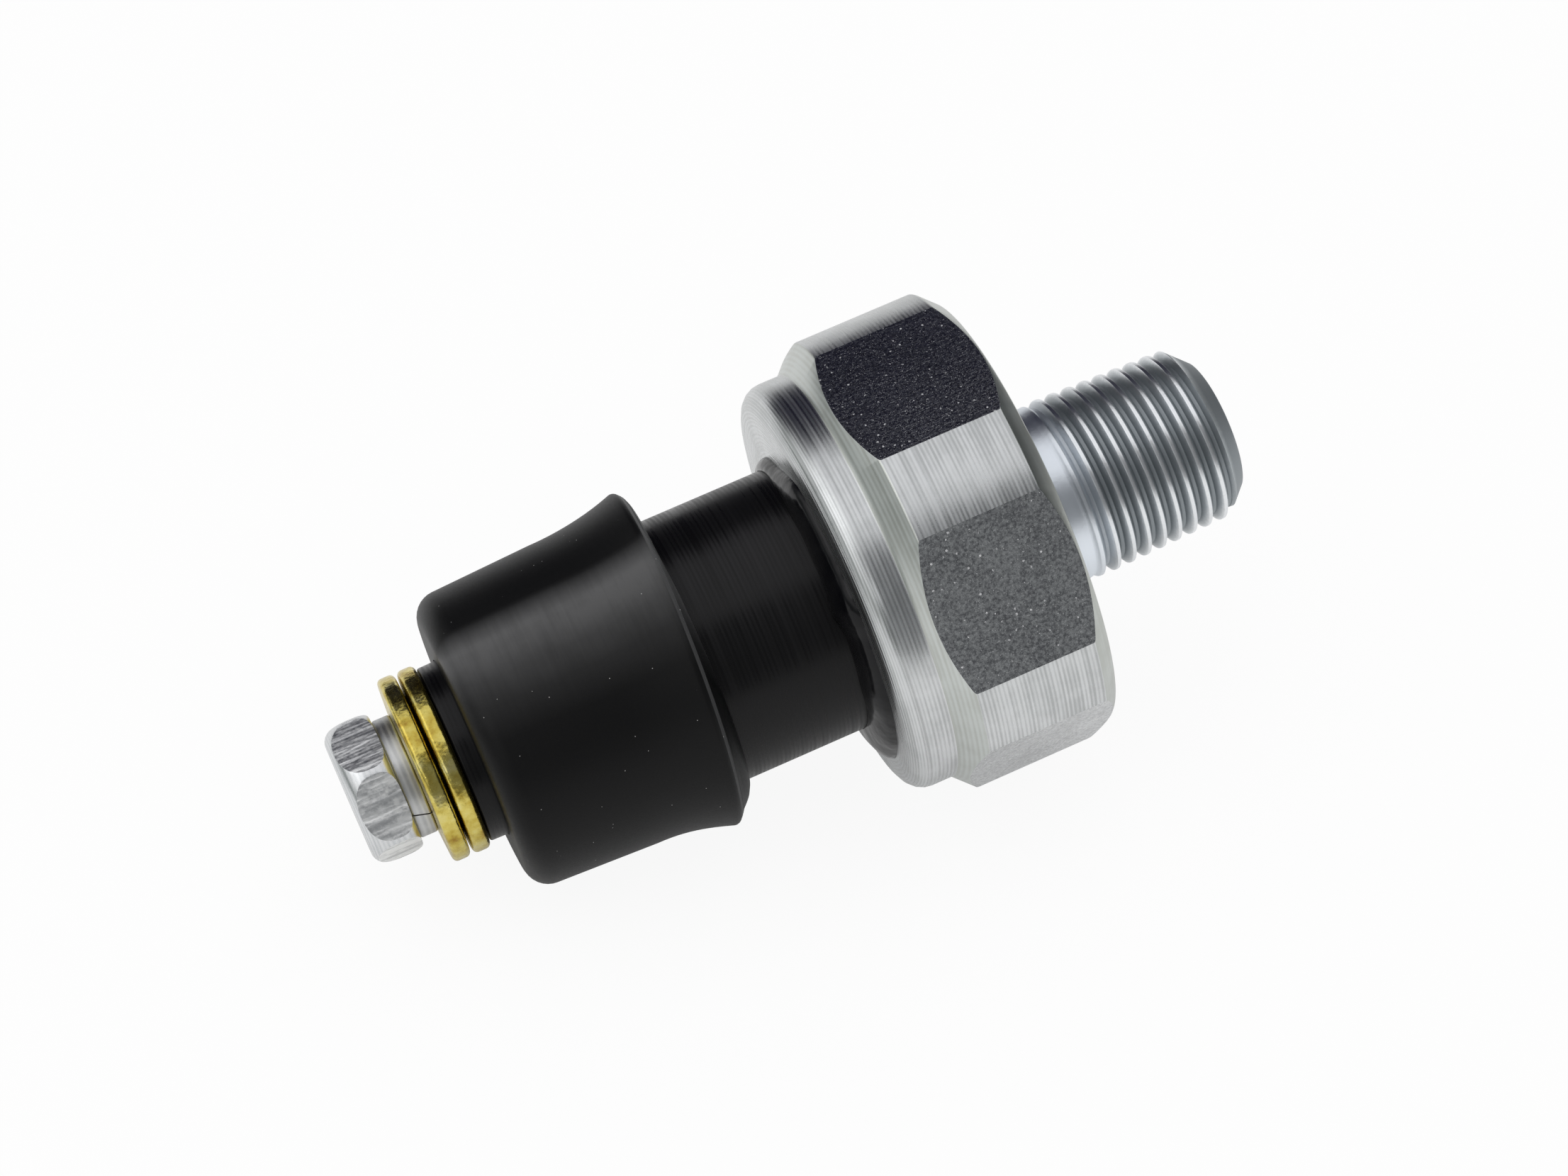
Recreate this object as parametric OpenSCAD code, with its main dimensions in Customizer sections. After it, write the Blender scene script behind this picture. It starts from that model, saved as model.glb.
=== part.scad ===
// Oil pressure sender for an engine block. A turned hexagon housing with a taper thread
// holds a moulded insulator under its rolled rim, and the insulator carries a screw terminal.
// Oil that comes up the port pushes a film and a plunger, which lift the contact plate.
// The sender lies as it comes to rest, on a flat of the hexagon and on the end of its boot.
// Stations are measured along the axis from the face of the hexagon beside the thread.

/* [Mounting thread] */
// Diameter over the largest thread crests
thread_d = 10; // [9:0.1:12]
// Distance from one crest to the next
thread_pitch = 0.907; // [0.8:0.001:1.2]
// Depth from crest to root
thread_depth = 0.5; // [0.3:0.05:0.55]
// Width of a crest and of a root
thread_flat = 0.2; // [0.05:0.01:0.25]
// Stem length over which the diameter grows by one
taper_ratio = 16; // [10:1:40]
// Diameter of the plain neck beside the hexagon
neck_d = 9.75; // [8.5:0.05:10]
// Station of the first crest
first_crest = 3; // [1.5:0.1:4]
// Length of the stem beyond the hexagon
stem_len = 11.5; // [9:0.5:20]
// Diameter of the flat tip of the stem
tip_d = 7.26; // [5:0.1:8]
// Bore that brings the oil to the film
port_d = 3; // [1.5:0.1:3.8]
// Countersink at the mouth of the oil bore
port_chamfer = 0.4; // [0:0.1:0.8]

/* [Hexagon and rim] */
// Width of the hexagon across its flats
hex_af = 24; // [22:0.5:27]
// Diameter to which the corners of the hexagon are turned
corner_d = 25.5; // [25:0.1:27]
// Length of the hexagon
hex_len = 8.84; // [7:0.1:12]
// Chamfer of the hexagon on the terminal side
back_chamfer = 1.25; // [0.8:0.05:1.6]
// Chamfer of the hexagon on the thread side
front_chamfer = 0.93; // [0.4:0.05:1.5]
// Diameter of the rolled rim
rim_d = 22.94; // [21:0.1:23]
// Length of the rim beyond the hexagon
rim_len = 2.42; // [2:0.1:5]
// Rounding of the rolled edge
rim_round = 1.2; // [0.4:0.1:1.6]
// Thickness of the lip that is rolled over the insulator
lip_t = 1.1; // [0.8:0.1:1.3]
// Depth of the oil chamber under the film
chamber_depth = 0.7; // [0.3:0.1:1.5]
// Width of the seal's seat round the oil chamber
seal_w = 2.9; // [2:0.1:4]

/* [Insulator] */
// Diameter of the moulded stem
insulator_d = 14.6; // [13.5:0.1:15.5]
// Bare length of stem between boot and rim
bare_len = 7.7; // [4:0.1:12]
// Diameter of the thinner neck under the terminal
insulator_neck_d = 9.8; // [9:0.1:11]
// Draft of the neck, off its radius at the free end
neck_draft = 0.05; // [0:0.01:0.2]
// Length of the neck that stands clear of the boot
neck_bare = 1; // [0.4:0.1:3]
// Reach of the flange beyond the moulded stem, inside the housing
flange_w = 1.8; // [1.3:0.1:2.3]
// Thickness of the flange
flange_t = 2.6; // [2:0.1:4]
// Diameter of the bore that holds the spring
spring_bore_d = 6; // [5.6:0.1:6.4]

/* [Boot and sealant] */
// Length of the rubber boot
boot_len = 12.4; // [9:0.1:16]
// Thickness of the boot's wall at its closed end
boot_wall = 0.8; // [0.5:0.05:1.5]
// Further reach of the wall where the flare starts
boot_swell = 0.3; // [0:0.05:0.8]
// Further reach of the flare at the lip's edge
flare_rise = 0.775; // [0.2:0.025:1.5]
// Length of the flare up to the lip's edge
flare_len = 4.4; // [2:0.1:5]
// Length of the bevel from the lip's edge to the boot's mouth
lip_len = 1.1; // [0.5:0.05:3]
// Width of the flat ring at the boot's mouth
mouth_w = 0.35; // [0.1:0.05:0.8]
// Rounding of the closed end
boot_round = 1.3; // [0.4:0.1:1.9]
// Thickness of the boot's end wall
boot_end_t = 1; // [0.6:0.1:2]
// Width of the sealant on the face of the rim
bead_w = 1.5; // [0.6:0.1:2.2]
// Height of the sealant up the insulator
bead_h = 0.9; // [0.4:0.1:2]

/* [Terminal] */
// Diameter of the two terminal washers
washer_d = 10.25; // [8:0.05:12]
// Thickness of a terminal washer
washer_t = 1.12; // [0.5:0.02:2]
// Rounding of the punched edges
washer_round = 0.25; // [0.05:0.05:0.4]
// Diameter of the spring washer
lock_d = 6.55; // [6.2:0.05:7.6]
// Thickness of the spring washer
lock_t = 1; // [0.6:0.05:1.5]
// Width of the split in the spring washer
split_w = 0.3; // [0.1:0.05:1]
// Angle of the split from the top, towards the front
split_turn = 84; // [0:1:359]
// Slant of the split
split_slant = 20; // [0:1:45]
// Width of the screw head across its flats
head_af = 7; // [6:0.1:8]
// Height of the screw head
head_h = 2.65; // [2:0.05:4]
// Diameter to which the middle of the screw head is turned
head_d = 7.9; // [7.4:0.05:9]
// Diameter of the flat top of the screw head
head_top_d = 6; // [5:0.1:6.4]
// Diameter of the seat of the screw head
head_seat_d = 7; // [6.6:0.1:7.3]
// Height over which the top of the head is domed
head_dome = 1.45; // [0.5:0.05:1.5]
// Height over which the lower edge of the head is rounded
head_base = 0.8; // [0.2:0.05:1]
// Diameter of the screw's shank
shank_d = 3.9; // [3.5:0.1:4.5]
// Length of the screw below its head
shank_len = 9; // [6:0.5:12]
// Depth of the tapped hole beyond the screw's end
tap_spare = 0.5; // [0.1:0.1:1]
// Diameter of the threaded insert
insert_d = 6.4; // [5.8:0.1:7]
// Length of the threaded insert
insert_len = 13.35; // [10:0.05:15]
// Width of the groove that locks the insert in the moulding
insert_groove = 1.6; // [0.5:0.1:3]

/* [Contact mechanism] */
// Travel of the plunger and the contact plate
travel = 0.4; // [0.1:0.05:0.4]
// Thickness of the washer under the rolled lip
crimp_t = 0.5; // [0.3:0.1:1]
// Thickness of the gasket under the insulator's flange
gasket_t = 0.5; // [0.3:0.1:1]
// Thickness of the guide plate
guide_t = 1.8; // [1.7:0.1:2.5]
// Thickness of the film
film_t = 0.15; // [0.1:0.05:0.3]
// Thickness of the rubber ring under the film
seal_t = 0.5; // [0.3:0.1:1]
// Diameter of the plunger's foot
foot_d = 9.4; // [6:0.1:10]
// Thickness of the plunger's foot
foot_t = 0.55; // [0.3:0.05:0.6]
// Diameter of the plunger's stem
plunger_d = 3.8; // [2.5:0.1:5]
// Diameter of the contact plate
plate_d = 11.2; // [10.8:0.1:11.6]
// Thickness of the contact plate
plate_t = 0.5; // [0.3:0.05:0.5]
// Mean diameter of the earthed contact ridge
ridge_d = 9.6; // [8:0.1:10]
// Width of the contact ridge
ridge_w = 0.8; // [0.4:0.1:1]
// Height of the contact ridge
ridge_h = 0.3; // [0.2:0.05:0.4]
// Wire diameter of the spring
wire_d = 0.5; // [0.3:0.05:0.6]
// Mean diameter of the spring
coil_d = 4.4; // [4:0.1:4.6]
// Number of turns
coil_turns = 7; // [4:1:9]
// Thickness of the disc above the spring
seat_t = 0.6; // [0.4:0.1:1]
// Length of the spigot that centres the spring
spigot_len = 1.2; // [0.5:0.1:2]

/* [Clearances] */
// Gap round a piece that is pressed or moulded into another
fit_gap = 0.05; // [0.02:0.01:0.1]
// Gap round a piece that is dropped into the housing
drop_gap = 0.15; // [0.05:0.05:0.25]
// Gap round the plunger and beside other running faces
run_gap = 0.1; // [0.05:0.05:0.15]
// Gap between the contact plate and its ridge, and at the ends of the spring
contact_gap = 0.05; // [0.02:0.01:0.1]
// Gap round the plunger's foot and the contact plate
side_gap = 0.3; // [0.2:0.05:0.4]
// Gap round the screw in its washers
washer_gap = 0.25; // [0.1:0.05:0.4]

/* [Hidden] */

$fn = 96;
ARC_STEPS = 6;
MERGE = 0.4;
WIRE_SIDES = 8;
COIL_STEPS = 24;

// Stations of the housing and the insulator
rim_face = -(hex_len + rim_len);
lip_seat = rim_face + lip_t;
boot_mouth = rim_face - bare_len;
boot_end = boot_mouth - boot_len;
shoulder = boot_end + boot_end_t;
terminal_face = boot_end - neck_bare;

// Stations of the terminal, from the insulator outwards
inner_washer_top = terminal_face - washer_t;
outer_washer_top = inner_washer_top - washer_t;
head_seat = outer_washer_top - lock_t;
head_top = head_seat - head_h;

// Stations of the stack inside the housing, from the lip towards the oil
flange_top = lip_seat + crimp_t;
flange_base = flange_top + flange_t;
guide_top = flange_base + gasket_t;
guide_base = guide_top + guide_t;
film_base = guide_base + film_t;
cavity_floor = film_base + seal_t;
chamber_floor = cavity_floor + chamber_depth;

// Stations of the moving contact at rest
plate_base = guide_top - ridge_h - contact_gap;
plate_top = plate_base - plate_t;
foot_base = guide_base - run_gap;
foot_top = foot_base - foot_t;
insert_base = terminal_face + insert_len;
seat_base = insert_base + seat_t;
recess_top = foot_top - travel - run_gap;
plate_room_top = plate_top - travel - run_gap;
spring_base = plate_top - contact_gap;
spring_top = seat_base + contact_gap;

// Radii that follow from the fits
stack_r = insulator_d / 2 + flange_w;
cavity_r = stack_r + drop_gap;
chamber_r = stack_r - seal_w;
lip_bore_r = insulator_d / 2 + drop_gap;
boot_bore_r = insulator_d / 2 + fit_gap;
boot_r = boot_bore_r + boot_wall;
waist_r = boot_r + boot_swell;
lip_r = waist_r + flare_rise;
neck_r = insulator_neck_d / 2;
recess_r = foot_d / 2 + side_gap;
plate_room_r = plate_d / 2 + side_gap;
tap_r = shank_d / 2 + fit_gap;
washer_bore_r = shank_d / 2 + washer_gap;

// Thread crests that fit before the tip's chamfer
crest_r = thread_d / 2;
tip_chamfer = crest_r - tip_d / 2;
crests = floor((stem_len - tip_chamfer - first_crest) / thread_pitch) + 2;
function crest_station(i) = first_crest + i * thread_pitch;
function taper_radius(station) = crest_r - (station - first_crest) / taper_ratio / 2;

// The hexagon touches the ground where its flat ends in the chamfer, and the tilt is the
// smallest angle at which a rounder piece on the terminal side touches the ground as well.
// Each such edge is given by its station, its radius and its rounding.
ground_station = -hex_len + hex_af / 2 - corner_d / 2 + back_chamfer;
lip_station = boot_mouth - lip_len;
low_edges = [
    [lip_station, lip_r, 0],
    [boot_end, boot_r, boot_round],
    [outer_washer_top, washer_d / 2, washer_round],
    [rim_face, rim_d / 2, rim_round]
];
function touch_angle(station, radius, rounding) =
    let (drop = hex_af / 2 - radius + rounding, run = ground_station - station - rounding)
    acos(rounding / norm([drop, run])) - atan2(run, drop);
rest_tilt = min([for (e = low_edges) touch_angle(e[0], e[1], e[2])]);
rest_height = hex_af / 2 * cos(rest_tilt) - ground_station * sin(rest_tilt);
left_end = head_top * cos(rest_tilt) - head_top_d / 2 * sin(rest_tilt);
right_end = stem_len * cos(rest_tilt) + tip_d / 2 * sin(rest_tilt);

// Points of an arc about a centre, from one angle to another
function arc(centre, radius, from, to, steps = ARC_STEPS) = [
    for (i = [0:steps])
        let (angle = from + (to - from) * i / steps)
        centre + radius * [cos(angle), sin(angle)]
];

// Lays a piece that is modelled upright on its axis down on the ground
module lying() {
    translate([-(left_end + right_end) / 2, 0, rest_height])
        rotate([0, -rest_tilt, 0])
            rotate([0, 90, 0])
                children();
}

// Solid of revolution from points given as radius and station
module turned(points) {
    rotate_extrude()
        polygon(points);
}

// Straight bore or rod between two stations
module rod(radius, from, to) {
    translate([0, 0, from])
        cylinder(r = radius, h = to - from);
}

// Flat ring between two stations
module flat_ring(inner, outer, from, to) {
    turned([[inner, from], [outer, from], [outer, to], [inner, to]]);
}

// Hexagonal bar with two of its flats level when the sender lies down
module hex_bar(across, from, to) {
    translate([0, 0, from])
        rotate([0, 0, 30])
            cylinder(d = across / cos(30), h = to - from, $fn = 6);
}

// Hexagon with turned corners, chamfered on both ends
module hexagon() {
    r = corner_d / 2;
    intersection() {
        hex_bar(hex_af, -hex_len, 0);
        turned([
            [0, -hex_len],
            [r - back_chamfer, -hex_len],
            [r, -hex_len + back_chamfer],
            [r, -front_chamfer],
            [r - front_chamfer, 0],
            [0, 0]
        ]);
    }
}

// Rim whose edge is rolled over the insulator
module rim() {
    turned(concat(
        [[0, rim_face]],
        arc([rim_d / 2 - rim_round, rim_face + rim_round], rim_round, -90, 0),
        [[rim_d / 2, -hex_len + MERGE], [0, -hex_len + MERGE]]
    ));
}

// Flat of a crest or a valley, centred on a station and cut to a depth below the taper
function taper_flat(station, depth) = [
    for (side = [-1, 1])
        let (at = station + side * thread_flat / 2)
        [taper_radius(at) - depth, at]
];

// Threaded stem: a plain neck, then crests that follow the taper, then the chamfered tip
module stem() {
    root_step = thread_pitch / 2;
    turned(concat(
        [[0, -MERGE], [neck_d / 2, -MERGE], [neck_d / 2, first_crest - root_step]],
        [for (i = [0:crests - 1]) each [
            each taper_flat(crest_station(i), 0),
            if (i < crests - 1) each taper_flat(crest_station(i) + root_step, thread_depth)
        ]],
        [[tip_d / 2, stem_len], [0, stem_len]]
    ));
}

// Stepped cavity for the insulator and the contact mechanism
module housing_cavity() {
    rod(lip_bore_r, rim_face - MERGE, lip_seat + MERGE);
    rod(cavity_r, lip_seat, cavity_floor);
    rod(chamber_r, cavity_floor - MERGE, chamber_floor);
}

// Oil bore with its countersunk mouth
module oil_port() {
    rod(port_d / 2, chamber_floor - MERGE, stem_len + MERGE);
    turned([
        [0, stem_len - port_chamfer - port_d / 2],
        [port_d / 2 + port_chamfer, stem_len],
        [port_d / 2 + port_chamfer, stem_len + MERGE],
        [0, stem_len + MERGE]
    ]);
}

module body_shell() {
    color("silver")
        lying()
            difference() {
                union() {
                    hexagon();
                    rim();
                    stem();
                }
                housing_cavity();
                oil_port();
            }
}

// Neck of the insulator, drafted towards its free end
module insulator_neck() {
    translate([0, 0, terminal_face])
        cylinder(r1 = neck_r - neck_draft, r2 = neck_r, h = shoulder + MERGE - terminal_face);
}

// Moulded insulator: neck, stem and flange in one piece, hollow for the contact spring
module insulator() {
    color([0.07, 0.07, 0.07])
        lying()
            difference() {
                union() {
                    insulator_neck();
                    rod(insulator_d / 2, shoulder, flange_base);
                    rod(stack_r, flange_top, flange_base);
                }
                insert_body(fit_gap);
                rod(spring_bore_d / 2, insert_base - MERGE, flange_base + MERGE);
                rod(plate_room_r, plate_room_top, flange_base + MERGE);
            }
}

// Outer form of the threaded insert, grown by a gap where it is cut out of the moulding
module insert_body(gap) {
    middle = terminal_face + insert_len / 2;
    groove_r = (insert_d + shank_d) / 4;
    turned([
        [0, terminal_face],
        [insert_d / 2 + gap, terminal_face],
        [insert_d / 2 + gap, middle - insert_groove / 2 + gap],
        [groove_r + gap, middle - insert_groove / 2 + gap],
        [groove_r + gap, middle + insert_groove / 2 - gap],
        [insert_d / 2 + gap, middle + insert_groove / 2 - gap],
        [insert_d / 2 + gap, insert_base],
        [0, insert_base]
    ]);
}

// Metal insert with the tapped hole for the terminal screw
module terminal_insert() {
    hole_end = head_seat + shank_len + tap_spare;
    color("goldenrod")
        lying()
            difference() {
                insert_body(0);
                rod(tap_r, terminal_face - MERGE, hole_end);
            }
}

// Rubber sleeve: rounded closed end, straight wall, a flare up to the lip's edge and a bevelled mouth
module boot() {
    hole_r = neck_r + fit_gap;
    flare_start = lip_station - flare_len;
    flare = [for (i = [0:ARC_STEPS])
        let (t = i / ARC_STEPS)
        [waist_r + flare_rise * t * t, flare_start + flare_len * t]
    ];
    color([0.1, 0.1, 0.1])
        lying()
            turned(concat(
                [[hole_r, boot_end]],
                arc([boot_r - boot_round, boot_end + boot_round], boot_round, -90, 0),
                flare,
                [[boot_bore_r + mouth_w, boot_mouth], [boot_bore_r, boot_mouth]],
                [[boot_bore_r, shoulder - fit_gap]],
                [[hole_r, shoulder - fit_gap]]
            ));
}

// Bead of sealant in the corner between the insulator and the rim
module sealant() {
    skin_r = insulator_d / 2 + fit_gap / 2;
    color([0.03, 0.03, 0.03])
        lying()
            turned(concat(
                [[skin_r, rim_face]],
                [[skin_r, rim_face - bead_h]],
                [for (i = [1:ARC_STEPS - 1])
                    let (angle = 90 * i / ARC_STEPS)
                    [skin_r + bead_w * (1 - cos(angle)), rim_face - bead_h * (1 - sin(angle))]
                ],
                [[skin_r + bead_w, rim_face]]
            ));
}

// Punched washer with rounded outer edges, standing between two stations
module punched_washer(from, to) {
    r = washer_d / 2 - washer_round;
    turned(concat(
        [[washer_bore_r, to], [washer_bore_r, from]],
        arc([r, from + washer_round], washer_round, -90, 0),
        arc([r, to - washer_round], washer_round, 0, 90)
    ));
}

module inner_washer() {
    color("gold")
        lying()
            punched_washer(inner_washer_top, terminal_face);
}

module outer_washer() {
    color("gold")
        lying()
            punched_washer(outer_washer_top, inner_washer_top);
}

// Spring washer with a slanting split
module lock_washer() {
    color("darkgray")
        lying()
            difference() {
                flat_ring(washer_bore_r, lock_d / 2, head_seat, outer_washer_top);
                rotate([0, 0, 180 - split_turn])
                    translate([lock_d / 2, 0, head_seat + lock_t / 2])
                        rotate([split_slant, 0, 0])
                            cube([lock_d, split_w, 3 * lock_t], center = true);
            }
}

// Hexagon head screw whose head is turned to a barrel shape before the flats are cut
module terminal_screw() {
    crown = (head_d - head_top_d) / 2;
    undercut = (head_d - head_seat_d) / 2;
    dome = [for (i = [0:ARC_STEPS])
        let (angle = 90 * i / ARC_STEPS)
        [head_top_d / 2 + crown * sin(angle), head_top + head_dome * (1 - cos(angle))]
    ];
    base = [for (i = [0:ARC_STEPS])
        let (angle = 90 * i / ARC_STEPS)
        [head_d / 2 - undercut * (1 - cos(angle)), head_seat - head_base * (1 - sin(angle))]
    ];
    color("lightgray")
        lying() {
            intersection() {
                hex_bar(head_af, head_top, head_seat);
                turned(concat([[0, head_top]], dome, base, [[0, head_seat]]));
            }
            rod(shank_d / 2, head_seat - MERGE, head_seat + shank_len);
        }
}

// Disc that carries the spring against the insert, with a spigot inside the coil
module spring_seat() {
    spigot_r = coil_d / 2 - wire_d / 2 - run_gap;
    color("silver")
        lying() {
            rod(spring_bore_d / 2 - run_gap, insert_base, seat_base);
            rod(spigot_r, seat_base - MERGE, seat_base + spigot_len);
        }
}

// One ring of points round the wire, at a turn of the coil
function wire_ring(turn, centre_z) = [
    for (k = [0:WIRE_SIDES - 1])
        let (angle = 360 * k / WIRE_SIDES, reach = (coil_d + wire_d * cos(angle)) / 2)
        [reach * cos(360 * turn), reach * sin(360 * turn), centre_z + wire_d / 2 * sin(angle)]
];

// Height of the coil at a turn, with a closed turn at each end
function coil_rise(turn) = max(0, min(1, (turn - 0.75) / (coil_turns - 1.5)));

// Coil spring swept round the axis
module contact_spring() {
    rings = coil_turns * COIL_STEPS;
    closed_rise = 2 * wire_d;
    low = spring_top + wire_d / 2;
    open_rise = spring_base - wire_d / 2 - low - closed_rise;
    points = [for (i = [0:rings]) each
        let (turn = i / COIL_STEPS, share = turn / coil_turns)
        wire_ring(turn, low + closed_rise * share + open_rise * coil_rise(turn))
    ];
    walls = [for (i = [0:rings - 1], k = [0:WIRE_SIDES - 1])
        let (n = (k + 1) % WIRE_SIDES, here = i * WIRE_SIDES, next = here + WIRE_SIDES)
        [here + k, here + n, next + n, next + k]
    ];
    start_cap = [for (k = [WIRE_SIDES - 1:-1:0]) k];
    end_cap = [for (k = [0:WIRE_SIDES - 1]) rings * WIRE_SIDES + k];
    color("steelblue")
        lying()
            polyhedron(points, concat([start_cap], walls, [end_cap]));
}

// Moving contact, pressed on the earthed ridge by the spring
module contact_plate() {
    color("peru")
        lying()
            rod(plate_d / 2, plate_top, plate_base);
}

// Plunger between the film and the contact plate
module plunger() {
    color("ivory")
        lying() {
            rod(foot_d / 2, foot_top, foot_base);
            rod(plunger_d / 2, plate_base, foot_top + foot_t / 2);
        }
}

// Guide plate with the contact ridge on one side and the recess for the foot on the other
module guide_plate() {
    color("lightsteelblue")
        lying()
            difference() {
                union() {
                    rod(stack_r, guide_top, guide_base);
                    flat_ring((ridge_d - ridge_w) / 2, (ridge_d + ridge_w) / 2,
                        guide_top - ridge_h, guide_top + MERGE);
                }
                rod(plunger_d / 2 + run_gap, guide_top - MERGE, guide_base);
                rod(recess_r, recess_top, guide_base + MERGE);
            }
}

// Film that keeps the oil out of the contacts
module diaphragm() {
    color("orange")
        lying()
            rod(stack_r, guide_base, film_base);
}

module seal_ring() {
    color("dimgray")
        lying()
            flat_ring(chamber_r, stack_r, film_base, cavity_floor);
}

module flange_gasket() {
    color("darkolivegreen")
        lying()
            flat_ring(plate_room_r, stack_r, flange_base, guide_top);
}

module crimp_washer() {
    color("gray")
        lying()
            flat_ring(lip_bore_r, stack_r, lip_seat, flange_top);
}

body_shell();
insulator();
boot();
sealant();
inner_washer();
outer_washer();
lock_washer();
terminal_screw();
terminal_insert();
spring_seat();
contact_spring();
contact_plate();
plunger();
guide_plate();
diaphragm();
seal_ring();
flange_gasket();
crimp_washer();
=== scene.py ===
from math import atan2, cos, hypot, pi, radians, sin, tan, tau

import bmesh
import bpy
from mathutils import Matrix, Vector


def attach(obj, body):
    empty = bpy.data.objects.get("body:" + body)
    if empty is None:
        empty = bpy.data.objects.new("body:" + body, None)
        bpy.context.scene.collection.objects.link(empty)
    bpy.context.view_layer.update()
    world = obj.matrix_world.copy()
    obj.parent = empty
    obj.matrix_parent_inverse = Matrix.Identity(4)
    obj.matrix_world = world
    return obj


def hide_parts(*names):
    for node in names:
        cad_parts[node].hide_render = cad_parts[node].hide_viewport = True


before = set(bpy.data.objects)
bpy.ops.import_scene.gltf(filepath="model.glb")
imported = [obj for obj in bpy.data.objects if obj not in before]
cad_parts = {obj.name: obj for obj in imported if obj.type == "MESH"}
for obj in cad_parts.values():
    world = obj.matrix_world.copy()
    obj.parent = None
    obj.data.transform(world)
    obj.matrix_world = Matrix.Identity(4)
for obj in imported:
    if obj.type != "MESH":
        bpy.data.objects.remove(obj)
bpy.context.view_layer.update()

# Every piece is turned on the X axis in millimetres, with its station along the sender, and then laid down.
# Station 0 is the hexagon's face on the thread side, and the terminal screw is on the minus side.
# An angle round the axis starts at the top and runs towards the camera.
resting = {"tilt": 10.0003, "height": 13.265953, "shift": 13.11709}
layDown = (
    Matrix.Translation((resting["shift"] / 1000, 0, resting["height"] / 1000))
    @ Matrix.Rotation(radians(-resting["tilt"]), 4, "Y")
    @ Matrix.Scale(0.001, 4)
)

shot = {
    "station": -13.09,   # the point on the axis that the photo is centred on
    "distance": 208.3,
    "focal": 5600,       # in pixels of the photo
    "width": 2212,
    "side": 43,          # from the top of the sender towards its near side
    "lean": 7.3,         # terminal end towards the camera
    "rise": 23.45,       # axis in the picture
    "offset": (-10.6, 28.4),
    "sensor": 36,
    "clip": (0.005, 20),
}


def placeCamera():
    along = (layDown.to_3x3() @ Vector((1, 0, 0))).normalized()
    top = (layDown.to_3x3() @ Vector((0, 0, 1))).normalized()
    near = Vector((0, -1, 0))
    side, lean, rise = radians(shot["side"]), radians(shot["lean"]), radians(shot["rise"])
    back = -sin(lean) * along + cos(lean) * (cos(side) * top + sin(side) * near)
    inPicture = (along + sin(lean) * back) / cos(lean)
    across = back.cross(inPicture)
    right = cos(rise) * inPicture - sin(rise) * across
    up = sin(rise) * inPicture + cos(rise) * across
    perPixel = shot["distance"] / shot["focal"] / 1000
    spot = layDown @ Vector((shot["station"], 0, 0)) + back * shot["distance"] / 1000
    spot += right * shot["offset"][0] * perPixel + up * shot["offset"][1] * perPixel
    data = bpy.data.cameras.new("studioCamera")
    data.sensor_width = shot["sensor"]
    data.lens = shot["sensor"] * shot["focal"] / shot["width"]
    data.clip_start, data.clip_end = shot["clip"]
    camera = bpy.data.objects.new("studioCamera", data)
    bpy.context.collection.objects.link(camera)
    turned = Matrix((right, up, back)).transposed().to_4x4()
    camera.matrix_world = Matrix.Translation(spot) @ turned
    bpy.context.scene.camera = camera
    print("camera at", [round(v, 4) for v in spot])


# Node helpers. Each takes the node tree first, and gives back the socket to go on with.

def addNode(tree, kind, **values):
    node = tree.nodes.new(kind)
    for name, value in values.items():
        if name.startswith("in_"):
            node.inputs[name[3:].replace("_", " ")].default_value = value
        else:
            setattr(node, name, value)
    return node


def mathNode(tree, operation, *values, clamp=False):
    node = addNode(tree, "ShaderNodeMath", operation=operation, use_clamp=clamp)
    for socket, value in zip(node.inputs, values):
        if isinstance(value, (int, float)):
            socket.default_value = value
        else:
            tree.links.new(value, socket)
    return node.outputs[0]


def blendOf(tree, first, second, share):
    # share is the weight of the second
    rest = mathNode(tree, "MULTIPLY", first, 1 - share)
    return mathNode(tree, "MULTIPLY_ADD", second, share, rest)


def mixOf(tree, share, first, second):
    node = addNode(tree, "ShaderNodeMix", data_type="RGBA")
    tree.links.new(share, node.inputs["Factor"])
    for name, value in (("A", first), ("B", second)):
        if isinstance(value, tuple):
            node.inputs[name].default_value = (*value, 1)
        else:
            tree.links.new(value, node.inputs[name])
    return node.outputs["Result"]


def noiseOf(tree, vector, scale, detail=4, rough=0.6):
    node = addNode(tree, "ShaderNodeTexNoise", in_Scale=scale, in_Detail=detail, in_Roughness=rough)
    tree.links.new(vector, node.inputs["Vector"])
    return node.outputs["Fac"]


def dotsOf(tree, vector, scale, size):
    # scattered specks, 1 inside a speck
    cells = addNode(tree, "ShaderNodeTexVoronoi", in_Scale=scale, in_Randomness=1)
    tree.links.new(vector, cells.inputs["Vector"])
    return mathNode(tree, "LESS_THAN", cells.outputs["Distance"], size)


def rampOf(tree, value, *stops):
    node = addNode(tree, "ShaderNodeValToRGB")
    ramp = node.color_ramp
    while len(ramp.elements) < len(stops):
        ramp.elements.new(0.5)
    for element, (place, tint) in zip(ramp.elements, stops):
        element.position = place
        element.color = (*tint, 1) if isinstance(tint, tuple) else (tint, tint, tint, 1)
    tree.links.new(value, node.inputs["Fac"])
    return node.outputs["Color"]


def stretchOf(tree, vector, scale):
    node = addNode(tree, "ShaderNodeMapping", in_Scale=scale)
    tree.links.new(vector, node.inputs["Vector"])
    return node.outputs[0]


def splitOf(tree, vector):
    node = addNode(tree, "ShaderNodeSeparateXYZ")
    tree.links.new(vector, node.inputs[0])
    return node.outputs["X"], node.outputs["Y"], node.outputs["Z"]


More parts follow.
